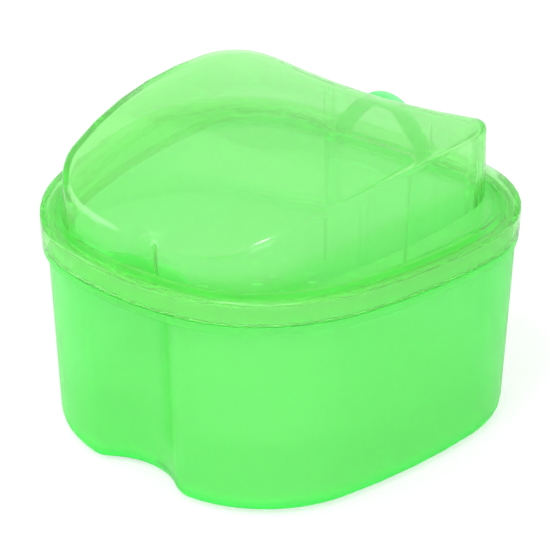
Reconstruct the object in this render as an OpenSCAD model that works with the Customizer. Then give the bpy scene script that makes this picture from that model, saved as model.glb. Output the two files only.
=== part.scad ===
// Denture bath: a notched cup, a strainer basket with an arched handle, and a domed lid.
// The front of the case faces -Y, it stands on z = 0, and every size is in millimetres.

/* [Overall] */
// Width of the lid's rim from side to side; the plan outline keeps its shape as this changes
rim_w = 95; // [88:0.5:104]
// Height of the lid's flat rim above the table
rim_h = 49.5; // [44:0.5:60]

/* [Container] */
// Thickness of the container's wall
cup_wall = 1.4; // [1:0.1:2]
// Thickness of the container's floor
cup_floor = 1.6; // [1.2:0.1:2.6]
// Rounding between the container's outer wall and its base
base_round = 3; // [2:0.1:4]
// How far the walls lean out for every millimetre of height
lean = 0.025; // [0.01:0.001:0.035]
// Height of the shoulder under the lid's skirt, with its upright edge
shoulder_h = 3.5; // [2.6:0.1:5]
// Height of the upright edge of that shoulder
lip_h = 1.9; // [1:0.1:2.2]
// Thickness of the collar that stands up inside the lid's skirt
collar_t = 1.1; // [0.8:0.05:1.3]
// Width of the inner ledge that carries the basket's flange, measured from the inner wall
ledge_w = 2.4; // [1.8:0.1:2.8]

/* [Lid] */
// Thickness of the lid's rim, panel and dome
lid_t = 1.5; // [1.2:0.1:1.8]
// Height of the lid's skirt
skirt_h = 5.2; // [4.6:0.1:7]
// Thickness of the lid's skirt
skirt_t = 1.3; // [1:0.1:1.6]
// Rounding of the rim's outer top edge
rim_round = 0.7; // [0.4:0.1:1.2]
// Width of the flat border outside the sunk panel
border_w = 4.2; // [3.6:0.1:5]
// Depth of the sunk panel round the dome
panel_drop = 0.8; // [0.4:0.1:1.1]
// Height of the dome's crest above the rim
dome_h = 16.1; // [14:0.1:20]
// Rounding between the dome's walls and its top
dome_round = 1.5; // [0.8:0.1:2]
// How far the middle of the dome's back edge sags below its corners
back_sag = 2.7; // [0:0.1:3.2]
// Radius of the upright groove in the dome's front
groove_r = 8; // [6:0.1:10]
// Depth of that groove, measured from the dome's front
groove_d = 2; // [1:0.1:3]

/* [Basket] */
// Thickness of the basket's wall
basket_wall = 1.2; // [1:0.1:1.4]
// Thickness of the basket's flange
flange_t = 1.3; // [0.8:0.1:1.3]
// Height of the top of the basket's floor above the table
basket_floor_z = 15; // [8:0.5:22]
// Thickness of the basket's floor
basket_floor = 1.4; // [1:0.1:2]
// Diameter of each drain hole
hole_d = 4; // [3:0.1:5]
// Distance between the centres of neighbouring drain holes
hole_pitch = 9; // [8:0.5:14]

/* [Handle] */
// Height of the arch's top above the lid's rim
handle_rise = 9.4; // [8:0.1:12]
// Width of the handle's bar, seen from the front
handle_w = 3.3; // [2.6:0.1:4]
// Thickness of the handle's bar from front to back
handle_t = 1.8; // [1.4:0.1:2]
// How far each leg stands out from the inside of the basket's back wall
leg_proud = 1.2; // [0.6:0.1:2]

/* [Clearances] */
// Gap between walls that slide past each other
side_gap = 0.3; // [0.2:0.05:0.4]
// Gap all round the handle where it passes through the lid and the collar
slot_gap = 0.4; // [0.3:0.05:0.45]
// Gap at each face where one piece sits on another
seat_gap = 0.2; // [0.1:0.05:0.25]

/* [Hidden] */

tiny = 0.01;
cut_past = 2;
merge = 0.2;
least_r = 0.3;
round_fn = 32;

// Plan outlines. Each arc is [radius over rim width, heading at its end]; heading 0 runs
// to the right, 90 to the back, and a negative radius curves inwards.
body_arcs = [[-0.1643, -35.82], [0.0588, 7.93], [0.3178, 36.83], [0.3178, 71.76],
             [1.4966, 86.64], [0.2686, 179]];
rim_arcs = [[0.7657, 7.21], [0.7657, 11.68], [0.3230, 36.83], [0.4308, 71.31],
            [1.2991, 86.81], [0.2910, 174.01]];
dome_arcs = [[0.8084, 12.66], [0.1845, 72.38], [1.5248, 91.9], [0.2065, 172.66]];
arch_arcs = [[0.0947, 45], [0.6316, 52], [0.0842, 90]];
body_front = -0.3809 * rim_w;
rim_front = -0.4712 * rim_w;
dome_front = -0.4207 * rim_w;

// Straight steps drawn for each arc, the last one closing the outline at the back
case_steps = [5, 4, 5, 6, 4, 11, 2];
dome_steps = [3, 7, 5, 9, 3];
arch_steps = [5, 1, 5];

// Heights, from the rim down
border_under = rim_h - lid_t;
panel_top = rim_h - panel_drop;
panel_under = panel_top - lid_t;
collar_top = border_under - seat_gap;
flange_top = panel_under - seat_gap;
flange_under = flange_top - flange_t;
ledge_z = flange_under - seat_gap;
shoulder_top = rim_h - skirt_h - seat_gap;
wall_top = shoulder_top - shoulder_h;

// Offsets from the rim outline
lip_back = 0.15;
lip_edge = 0.4;
collar_edge = 0.3;
skirt_edge = 0.2;
collar_out = -skirt_t - side_gap;
collar_in = collar_out - collar_t;
flange_out = collar_in - side_gap;

// Offsets from the body outline, which is drawn at the height of the table
wall_off = lean * wall_top;
wall_in = wall_off - cup_wall;
ledge_in = wall_in - ledge_w;
basket_out = ledge_in - side_gap;
basket_in = basket_out - basket_wall;
basket_low = lean * (flange_under - basket_floor_z + basket_floor);
ledge_drop = 1.5;
basket_edge = 0.6;

// The drain holes lie in a round field of this radius, whose middle row is at this y
hole_field = 0.33 * rim_w;
hole_mid = 0.016 * rim_w;

// The dome's top, from front to back: a brow, a long crest and a tail
crest_z = rim_h + dome_h;
crest_y = 0.1121 * rim_w;
crest_r = 1.9135 * rim_w;
brow_y = -0.2529 * rim_w;
brow_r = 0.3158 * rim_w;
tail_y = 0.3342 * rim_w;
tail_r = 0.1748 * rim_w;
sag_from = 0.0374 * rim_w;
sag_run = 0.3579 * rim_w;
dome_half_w = 0.3474 * rim_w;
dome_lean = 0.025;
dome_mid = 0.01 * rim_w;
dome_shrink = [0.93, 0.82, 0.65, 0.4];
groove_y = dome_front + groove_d - groove_r;

// The arch of the handle, seen from the front: its top and its half width
arch_top = rim_h + handle_rise;
arch_half = half(arch_arcs, 0, 0, arch_steps);
arch_half_w = arch_half[len(arch_half) - 1][0];

// Arcs with their centres: [centre, radius, heading at the start, heading at the end]
function chain(arcs, p, a = 0, i = 0) =
    i == len(arcs)
    ? (a == 90 ? [] : let (r = p[0] / sin(a)) [[[0, p[1] + r * cos(a)], r, a, 180]])
    : let (r = arcs[i][0] * rim_w, e = arcs[i][1],
           c = [p[0] - r * sin(a), p[1] + r * cos(a)],
           q = [c[0] + r * sin(e), c[1] - r * cos(e)])
      concat([[c, r, a, e]], chain(arcs, q, e, i + 1));

// A radius moved outwards by off; an outward curve never closes up completely
function moved(r, off) = r > 0 ? max(r + off, least_r) : r + off;

// Right half of an outline, from the front middle to the back
function half(arcs, front, off, steps) =
    let (c = chain(arcs, [0, front]))
    [for (k = [0:len(c) - 1]) for (j = [(k == 0 ? 0 : 1):steps[k]])
        let (a = c[k][2] + (c[k][3] - c[k][2]) * j / steps[k], r = moved(c[k][1], off))
        [c[k][0][0] + r * sin(a), c[k][0][1] - r * cos(a)]];

// Whole closed outline of a mirrored half that ends on the middle line
function whole(h) = concat(h, [for (i = [len(h) - 2:-1:1]) [-h[i][0], h[i][1]]]);

function body(off) = whole(half(body_arcs, body_front, off, case_steps));
function rim(off) = whole(half(rim_arcs, rim_front, off, case_steps));
function at(points, z) = [for (p = points) [p[0], p[1], z]];

function back_arc(arcs, front) = let (c = chain(arcs, [0, front])) c[len(c) - 1];
body_back = back_arc(body_arcs, body_front);
rim_back = back_arc(rim_arcs, rim_front);

// Y of the back of the body outline, moved by off, at a distance x from the middle
function back_y(off, x) = let (r = body_back[1] + off) body_back[0][1] + sqrt(r * r - x * x);

// The handle stands in a shallow recess in the back of the dome
dome_end = back_arc(dome_arcs, dome_front);
dome_back_y = dome_end[0][1] + dome_end[1];
handle_out = 0.4;
handle_y = dome_back_y - handle_t / 2 + handle_out;
slot_front = handle_y - handle_t / 2 - slot_gap;
slot_back = handle_y + handle_t / 2 + slot_gap;
slot_half_w = arch_half_w + slot_gap;
leg_x = arch_half_w - handle_w / 2;
leg_back = back_y(basket_in, leg_x) + merge;
leg_front = back_y(basket_in - basket_low, leg_x) - leg_proud;

// One flat four-sided face, or two triangles where its corners don't lie in a plane
function face4(p, a, b, c, d) =
    abs(cross(p[b] - p[a], p[c] - p[a]) * (p[d] - p[a])) < 0.0001
    ? [[a, b, c, d]] : [[a, b, c], [a, c, d]];

// Skin through a list of closed rings with equal numbers of points, capped at both ends
module skin(rings) {
    n = len(rings[0]);
    m = len(rings);
    pts = [for (r = rings) each r];
    polyhedron(points = pts, convexity = 8, faces = concat(
        [[for (i = [0:n - 1]) i]],
        [for (k = [0:m - 2]) for (i = [0:n - 1]) let (j = (i + 1) % n)
            each face4(pts, k * n + i, (k + 1) * n + i, (k + 1) * n + j, k * n + j)],
        [[for (i = [n - 1:-1:0]) (m - 1) * n + i]]));
}

// Rings of a rounded corner at the foot of the body's wall; z0 is the height of its flat
function foot_rings(off, z0, r, turns) =
    [for (a = turns) let (z = z0 + r * (1 - cos(a)))
        at(body(off + lean * z - r * (1 - sin(a))), z)];

module container() {
    inner_round = base_round - cup_wall;
    color([0.33, 0.98, 0.42])
    difference() {
        skin(concat(
            foot_rings(0, 0, base_round, [0, 22.5, 45, 67.5, 90]),
            [at(body(wall_off), wall_top),
             at(rim(-lip_back - lip_edge), shoulder_top - lip_h),
             at(rim(-lip_back), shoulder_top - lip_h + lip_edge),
             at(rim(-lip_back), shoulder_top),
             at(rim(collar_out), shoulder_top),
             at(rim(collar_out), collar_top - collar_edge),
             at(rim(collar_out - collar_edge), collar_top),
             at(rim(collar_in), collar_top),
             at(rim(collar_in), ledge_z),
             at(body(ledge_in), ledge_z),
             at(body(ledge_in), ledge_z - ledge_drop),
             at(body(wall_in), ledge_z - ledge_drop - ledge_w)],
            foot_rings(-cup_wall, cup_floor, inner_round, [90, 67.5, 45, 22.5, 0])));
        // Gap in the collar for the handle
        translate([-slot_half_w, dome_back_y / 2, ledge_z])
            cube([2 * slot_half_w, rim_w, rim_h]);
    }
}

module drain_holes() {
    span = floor(hole_field / hole_pitch);
    for (ix = [-span:span]) for (iy = [-span:span]) {
        p = [ix * hole_pitch, iy * hole_pitch + hole_mid];
        if (norm(p) < hole_field)
            translate([p[0], p[1], basket_floor_z - basket_floor - cut_past])
                cylinder(d = hole_d, h = basket_floor + 2 * cut_past, $fn = round_fn);
    }
}

// Outline of the arch on the sheet it is cut from, moved outwards by off, open at the foot
function arch(off, foot) =
    let (h = [for (q = half(arch_arcs, 0, off, arch_steps)) [q[0], arch_top - q[1]]],
         e = h[len(h) - 1][0])
    concat(h, [[e, foot], [-e, foot]], [for (i = [len(h) - 1:-1:1]) [-h[i][0], h[i][1]]]);

module handle() {
    foot = flange_under;
    translate([0, handle_y + handle_t / 2, 0]) rotate([90, 0, 0])
        linear_extrude(height = handle_t) difference() {
            polygon(arch(0, foot));
            polygon(arch(-handle_w, foot - cut_past));
        }
    // Tab of the flange that carries the handle
    translate([-arch_half_w, leg_back, flange_under])
        cube([2 * arch_half_w, handle_y + handle_t / 2 - leg_back, flange_t]);
    for (s = [-1, 1])
        translate([s * leg_x - handle_w / 2, leg_front, basket_floor_z - basket_floor / 2])
            cube([handle_w, leg_back - leg_front,
                  flange_top - tiny - basket_floor_z + basket_floor / 2]);
}

module basket() {
    floor_low = basket_floor_z - basket_floor;
    color([0.45, 1, 0.5])
    difference() {
        union() {
            skin([
                at(body(basket_out - basket_low - basket_edge), floor_low),
                at(body(basket_out - basket_low), floor_low + basket_edge),
                at(body(basket_out), flange_under),
                at(rim(flange_out), flange_under),
                at(rim(flange_out), flange_top),
                at(body(basket_in), flange_top),
                at(body(basket_in - basket_low), basket_floor_z)]);
            handle();
        }
        drain_holes();
    }
}

// Height on an arc of radius r that runs on from y0, z0, where its slope has the sine s0
function run_on(y, y0, z0, s0, r) =
    z0 + r * (sqrt(1 - pow(s0 + (y - y0) / r, 2)) - sqrt(1 - s0 * s0));
function crest(y) = run_on(y, crest_y, crest_z, 0, crest_r);

// Height of the dome's top surface at its side edges, and anywhere
function side_top(y) =
    y < brow_y ? run_on(y, brow_y, crest(brow_y), (brow_y - crest_y) / crest_r, brow_r)
    : y > tail_y ? run_on(y, tail_y, crest(tail_y), (tail_y - crest_y) / crest_r, tail_r)
    : crest(y);
function sag(x, y) = back_sag * pow(min(1, max(0, (y - sag_from) / sag_run)), 2)
    * (1 - pow(x / dome_half_w, 2));
function dome_z(p, drop) = side_top(p[1]) - sag(p[0], p[1]) - drop;

function dome_ring(off) = whole(half(dome_arcs, dome_front, off, dome_steps));

// Solid dome whose walls stand at an offset of off, from z_low up to drop below the top
module dome(off, z_low, drop, r) {
    top_off = off - dome_lean * dome_h;
    edge = dome_ring(top_off - r);
    middle = [0, dome_mid];
    rings = concat([at(dome_ring(off), z_low)],
        [for (a = [0, 30, 60, 90]) [for (p = dome_ring(top_off - r * (1 - cos(a))))
            [p[0], p[1], dome_z(p, drop) - r * (1 - sin(a))]]],
        [for (s = dome_shrink) [for (e = edge)
            let (p = middle + s * (e - middle)) [p[0], p[1], dome_z(p, drop)]]]);
    n = len(edge);
    m = len(rings);
    pts = concat([for (k = rings) each k], [[0, dome_mid, dome_z(middle, drop)]]);
    polyhedron(points = pts, convexity = 8, faces = concat(
        [[for (i = [0:n - 1]) i]],
        [for (k = [0:m - 2]) for (i = [0:n - 1]) let (j = (i + 1) % n)
            each face4(pts, k * n + i, (k + 1) * n + i, (k + 1) * n + j, k * n + j)],
        [for (i = [0:n - 1]) [(m - 1) * n + i, m * n, (m - 1) * n + (i + 1) % n]]));
}

// The dome with the groove in its front and the recess for the handle in its back
module cut_dome(off, z_low, drop, r) {
    difference() {
        dome(off, z_low, drop, r);
        translate([0, groove_y, z_low - cut_past])
            cylinder(r = groove_r - off, h = dome_h * 3, $fn = 3 * round_fn);
        translate([-slot_half_w + off, slot_front + off, z_low - cut_past])
            cube([2 * (slot_half_w - off), rim_w, dome_h * 3]);
    }
}

// Rim, skirt and flat plate of the lid before the panel is sunk
module rim_plate() {
    r = rim_round;
    skin(concat(
        [at(rim(collar_in - side_gap), panel_under),
         at(rim(collar_in - side_gap), border_under),
         at(rim(-skirt_t), border_under),
         at(rim(-skirt_t), rim_h - skirt_h),
         at(rim(-skirt_edge), rim_h - skirt_h),
         at(rim(0), rim_h - skirt_h + skirt_edge)],
        [for (a = [0, 30, 60, 90]) at(rim(-r * (1 - cos(a))), rim_h - r * (1 - sin(a)))]));
}

module lid() {
    color([0.6, 1, 0.55])
    difference() {
        union() {
            difference() {
                rim_plate();
                translate([0, 0, panel_top])
                    linear_extrude(height = cut_past) polygon(rim(-border_w));
            }
            cut_dome(0, panel_top - lid_t / 2, 0, dome_round);
        }
        cut_dome(-lid_t, panel_under - cut_past, lid_t, max(least_r, dome_round - lid_t));
        translate([-slot_half_w, slot_front, panel_under - cut_past])
            cube([2 * slot_half_w, slot_back - slot_front, lid_t + panel_drop + 2 * cut_past]);
    }
}

container();
basket();
lid();
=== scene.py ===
import bpy, math
from mathutils import Vector, Matrix


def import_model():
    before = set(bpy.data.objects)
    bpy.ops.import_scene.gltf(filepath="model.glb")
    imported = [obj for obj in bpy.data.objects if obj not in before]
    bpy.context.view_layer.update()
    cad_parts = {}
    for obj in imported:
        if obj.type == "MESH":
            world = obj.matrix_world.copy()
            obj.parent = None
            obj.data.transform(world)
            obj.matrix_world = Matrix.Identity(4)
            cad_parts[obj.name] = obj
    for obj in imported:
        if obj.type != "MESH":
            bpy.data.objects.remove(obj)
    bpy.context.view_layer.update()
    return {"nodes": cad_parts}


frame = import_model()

nodes = frame["nodes"]


# Materials. Lengths are in metres.

FLOW_SCALE, GRAIN_SCALE = 28.0, 900.0    # waves of the moulding and its fine grain
GRAIN_PART = 0.04                        # the grain's height as a share of the waves'
WAVE_HEIGHT = 0.0006                     # depth of the bump where its strength is 1
CLOUDING = 0.12                          # how far the haze varies round its amount
DIFFUSE_PART = 0.7                       # share of the haze that throws light back
SKIN_HEAD_ON, SKIN_GRAZING = 0.04, 0.2   # gloss of the skin by the angle it is seen at
SKIN_POWER = 5.0
WELD_GAP = 1e-6                          # points nearer than this are one point
SPLIT_ANGLE = math.radians(55)           # edges sharper than this stay sharp


def new_material(name):
    m = bpy.data.materials.new(name)
    m.use_nodes = True
    m.node_tree.nodes.clear()
    return m, m.node_tree.nodes, m.node_tree.links


def mix(n, l, first, second, fac):
    """Mix two shaders by a number or by a socket."""
    m = n.new("ShaderNodeMixShader")
    if isinstance(fac, float):
        m.inputs[0].default_value = fac
    else:
        l.new(fac, m.inputs[0])
    l.new(first, m.inputs[1])
    l.new(second, m.inputs[2])
    return m.outputs[0]


def waves(n, l, co):
    """Return the wave pattern and the same with a little grain, both by object coordinates."""
    flow = n.new("ShaderNodeTexNoise")
    flow.inputs["Scale"].default_value = FLOW_SCALE
    flow.inputs["Detail"].default_value = 2.0
    l.new(co.outputs["Object"], flow.inputs["Vector"])
    grain = n.new("ShaderNodeTexNoise")
    grain.inputs["Scale"].default_value = GRAIN_SCALE
    l.new(co.outputs["Object"], grain.inputs["Vector"])
    both = n.new("ShaderNodeMath")
    both.operation = "MULTIPLY_ADD"
    both.inputs[1].default_value = GRAIN_PART
    l.new(grain.outputs["Fac"], both.inputs[0])
    l.new(flow.outputs["Fac"], both.inputs[2])
    return flow.outputs["Fac"], both.outputs[0]


def deepen_with_painted_shade(n, l, co, shaders, milk, amount, deep_painted_shade):
    """Colour the haze deeper over a range of heights. This is painted shade, and on the cup it is
    also the deeper green of its thick foot. Returns the new amount of haze.

    deep_painted_shade holds the deeper colour, the height where it begins, the height where it is
    full, and the haze added there."""
    colour, begins, full, added = deep_painted_shade
    place = n.new("ShaderNodeSeparateXYZ")
    l.new(co.outputs["Object"], place.inputs[0])
    level = n.new("ShaderNodeMapRange")
    level.interpolation_type = "SMOOTHSTEP"
    level.inputs["From Min"].default_value = begins
    level.inputs["From Max"].default_value = full
    l.new(place.outputs["Z"], level.inputs["Value"])
    tint = n.new("ShaderNodeMix")
    tint.data_type = "RGBA"
    tint.inputs[6].default_value = (*milk, 1.0)
    tint.inputs[7].default_value = (*colour, 1.0)
    l.new(level.outputs["Result"], tint.inputs[0])
    for shader in shaders:
        l.new(tint.outputs[2], shader.inputs["Color"])
    more = n.new("ShaderNodeMath")
    more.operation = "MULTIPLY_ADD"
    more.inputs[1].default_value = added
    l.new(level.outputs["Result"], more.inputs[0])
    l.new(amount, more.inputs[2])
    return more.outputs[0]


def green_plastic(name, absorb, density, milk, haze, bend, frost, ior, rough, ripple, deep_painted_shade=None):
    """Moulded green plastic: a clear part, an absorbing inside, some haze and a glossy skin.

    absorb, density: colour and strength of the absorption inside
    milk, haze: colour and share of the haze
    bend: share of the clear part that refracts, with roughness frost and index ior
    rough, ripple: roughness of the skin and strength of its waves"""
    m, n, l = new_material(name)
    out = n.new("ShaderNodeOutputMaterial")
    co = n.new("ShaderNodeTexCoord")
    flow, height = waves(n, l, co)
    bump = n.new("ShaderNodeBump")
    bump.inputs["Strength"].default_value = ripple
    bump.inputs["Distance"].default_value = WAVE_HEIGHT
    l.new(height, bump.inputs["Height"])

    cloud = n.new("ShaderNodeMapRange")
    cloud.inputs["To Min"].default_value = haze * (1 - CLOUDING)
    cloud.inputs["To Max"].default_value = haze * (1 + CLOUDING)
    l.new(flow, cloud.inputs["Value"])
    amount = cloud.outputs["Result"]

    straight = n.new("ShaderNodeBsdfTransparent")
    bent = n.new("ShaderNodeBsdfGlass")
    bent.inputs["Roughness"].default_value = frost
    bent.inputs["IOR"].default_value = ior
    clear = mix(n, l, straight.outputs[0], bent.outputs[0], bend)
    through = n.new("ShaderNodeBsdfTranslucent")
    back = n.new("ShaderNodeBsdfDiffuse")
    for shader in (through, back):
        shader.inputs["Color"].default_value = (*milk, 1.0)
    # deeper colour by height: painted shade, and on the cup also the deeper green of its thick foot
    if deep_painted_shade:
        amount = deepen_with_painted_shade(n, l, co, (through, back), milk, amount, deep_painted_shade)
    hazy = mix(n, l, through.outputs[0], back.outputs[0], DIFFUSE_PART)
    body = mix(n, l, clear, hazy, amount)

    facing = n.new("ShaderNodeLayerWeight")
    facing.inputs["Blend"].default_value = 0.5
    l.new(bump.outputs["Normal"], facing.inputs["Normal"])
    steep = n.new("ShaderNodeMath")
    steep.operation = "POWER"
    steep.inputs[1].default_value = SKIN_POWER
    l.new(facing.outputs["Facing"], steep.inputs[0])
    skin = n.new("ShaderNodeMapRange")
    skin.inputs["To Min"].default_value = SKIN_HEAD_ON
    skin.inputs["To Max"].default_value = SKIN_GRAZING
    l.new(steep.outputs[0], skin.inputs["Value"])
    gloss = n.new("ShaderNodeBsdfGlossy")
    gloss.inputs["Roughness"].default_value = rough
    l.new(bump.outputs["Normal"], gloss.inputs["Normal"])
    l.new(mix(n, l, body, gloss.outputs[0], skin.outputs["Result"]), out.inputs["Surface"])

    vol = n.new("ShaderNodeVolumeAbsorption")
    vol.inputs["Color"].default_value = (*absorb, 1.0)
    vol.inputs["Density"].default_value = density
    l.new(vol.outputs[0], out.inputs["Volume"])
    return m


# The cup is frosted and deeper at its foot, partly the deeper green of the thick foot and partly
# painted shade; the basket is deeper at its handle, which is painted shade; and the lid is clear.
plastics = {
    "container": green_plastic("cup_plastic", absorb=(0.0, 1.0, 0.25), density=290.0,
                               milk=(0.34, 1.0, 0.29), haze=0.26, bend=1.0, frost=0.35,
                               ior=1.14, rough=0.22, ripple=0.15,
                               # deeper green over the lowest 5 mm: partly the thick foot, partly
                               # painted shade
                               deep_painted_shade=((0.02, 1.0, 0.12), 0.0055, 0.0005, 0.4)),
    "basket": green_plastic("basket_plastic", absorb=(0.0, 1.0, 0.3), density=130.0,
                            milk=(0.56, 1.0, 0.46), haze=0.18, bend=0.0, frost=0.0,
                            ior=1.0, rough=0.2, ripple=0.15,
                            # deeper green from 43 mm upwards, over the rim and handle: painted shade
                            deep_painted_shade=((0.12, 1.0, 0.25), 0.043, 0.047, 0.35)),
    "lid": green_plastic("lid_plastic", absorb=(0.3, 1.0, 0.25), density=245.0,
                         milk=(0.54, 1.0, 0.36), haze=0.13, bend=0.8, frost=0.01,
                         ior=1.13, rough=0.10, ripple=0.05),
}


def smooth(obj):
    """Smooth the rounds and keep the sharp edges and the flat faces.

    The faces come in as separate patches, so their points are welded first."""
    for p in obj.data.polygons:
        p.use_smooth = True
    weld = obj.modifiers.new("weld", "WELD")
    weld.merge_threshold = WELD_GAP
    mod = obj.modifiers.new("edges", "EDGE_SPLIT")
    mod.split_angle = SPLIT_ANGLE
    obj.modifiers.new("even_normals", "WEIGHTED_NORMAL")


for name, plastic in plastics.items():
    for slot in nodes[name].material_slots:
        slot.material = plastic
    smooth(nodes[name])


# Floor and light

FLOOR_HALF, FLOOR_DROP = 3.0, 0.0002     # half its side, and how far it lies under the part
PAPER_SCALE, PAPER_TONES = 6.0, (0.96, 0.98)
FLOOR_WHITE = 0.6                        # share of plain white that is seen on the floor


def seen_directly(n, l):
    """1 for rays from the camera, also by way of a gloss or through glass."""
    path = n.new("ShaderNodeLightPath")
    total = path.outputs["Is Camera Ray"]
    for kind in ("Is Glossy Ray", "Is Transmission Ray"):
        either = n.new("ShaderNodeMath")
        either.operation = "MAXIMUM"
        l.new(total, either.inputs[0])
        l.new(path.outputs[kind], either.inputs[1])
        total = either.outputs[0]
    return total


def floor():
    """White paper that keeps the shadow."""
    me = bpy.data.meshes.new("floor")
    r = FLOOR_HALF
    me.from_pydata([(-r, -r, 0), (r, -r, 0), (r, r, 0), (-r, r, 0)], [], [(0, 1, 2, 3)])
    o = bpy.data.objects.new("floor", me)
    bpy.context.scene.collection.objects.link(o)
    o.location.z = -FLOOR_DROP
    m, n, l = new_material("floor_paper")
    out = n.new("ShaderNodeOutputMaterial")
    paper = n.new("ShaderNodeBsdfDiffuse")
    co = n.new("ShaderNodeTexCoord")
    fibre = n.new("ShaderNodeTexNoise")
    fibre.inputs["Scale"].default_value = PAPER_SCALE
    l.new(co.outputs["Object"], fibre.inputs["Vector"])
    tone = n.new("ShaderNodeMapRange")
    tone.inputs["To Min"].default_value, tone.inputs["To Max"].default_value = PAPER_TONES
    l.new(fibre.outputs["Fac"], tone.inputs["Value"])
    l.new(tone.outputs["Result"], paper.inputs["Color"])
    white = n.new("ShaderNodeEmission")
    white.inputs["Strength"].default_value = 1.0
    part = n.new("ShaderNodeMath")
    part.operation = "MULTIPLY"
    part.inputs[1].default_value = FLOOR_WHITE
    l.new(seen_directly(n, l), part.inputs[0])
    l.new(mix(n, l, paper.outputs[0], white.outputs[0], part.outputs[0]), out.inputs["Surface"])
    me.materials.append(m)


def world(strength, seen):
    """A white surround: its strength as a light, and the white that is seen."""
    w = bpy.data.worlds.new("studio")
    bpy.context.scene.world = w
    w.use_nodes = True
    n, l = w.node_tree.nodes, w.node_tree.links
    n.clear()
    out = n.new("ShaderNodeOutputWorld")
    lit, bg = n.new("ShaderNodeBackground"), n.new("ShaderNodeBackground")
    for node, power in ((lit, strength), (bg, seen)):
        node.inputs["Color"].default_value = (1, 1, 1, 1)
        node.inputs["Strength"].default_value = power
    l.new(mix(n, l, lit.outputs[0], bg.outputs[0], seen_directly(n, l)), out.inputs["Surface"])


def area(name, loc, side, power):
    """A square lamp that points at the middle of the case."""
    d = bpy.data.lights.new(name, "AREA")
    d.shape = "RECTANGLE"
    d.size = d.size_y = side
    d.energy = power
    o = bpy.data.objects.new(name, d)
    bpy.context.scene.collection.objects.link(o)
    o.location = loc
    o.rotation_euler = (Vector((0, 0, 0.03)) - Vector(loc)).to_track_quat("-Z", "Y").to_euler()


floor()
world(1.05, 1.0)
area("top_softbox", (0.10, -0.42, 0.75), 0.2, 2.2)
area("left_softbox", (-0.7, -0.4, 0.4), 0.4, 2.0)
area("right_fill", (0.6, -0.6, 0.25), 0.5, 2.0)


# Camera, found by fitting a pinhole model to the outlines in the photograph

def camera(spot, target, roll, lens):
    d = bpy.data.cameras.new("photo_camera")
    d.sensor_width = 36.0
    d.lens = lens
    o = bpy.data.objects.new("photo_camera", d)
    bpy.context.scene.collection.objects.link(o)
    look = (Vector(target) - Vector(spot)).normalized()
    right = look.cross(Vector((0, 0, 1))).normalized()
    up = right.cross(look)
    c, s = math.cos(roll), math.sin(roll)
    right, up = right * c + up * s, up * c - right * s
    o.matrix_world = Matrix(((right.x, up.x, -look.x, spot[0]), (right.y, up.y, -look.y, spot[1]),
                             (right.z, up.z, -look.z, spot[2]), (0, 0, 0, 1)))
    bpy.context.scene.camera = o


camera((0.231665, -0.280349, 0.224041), (0.000784, 0.002824, 0.030002), math.radians(0.1585), 127.58)

scene = bpy.context.scene
scene.view_settings.view_transform = "Standard"
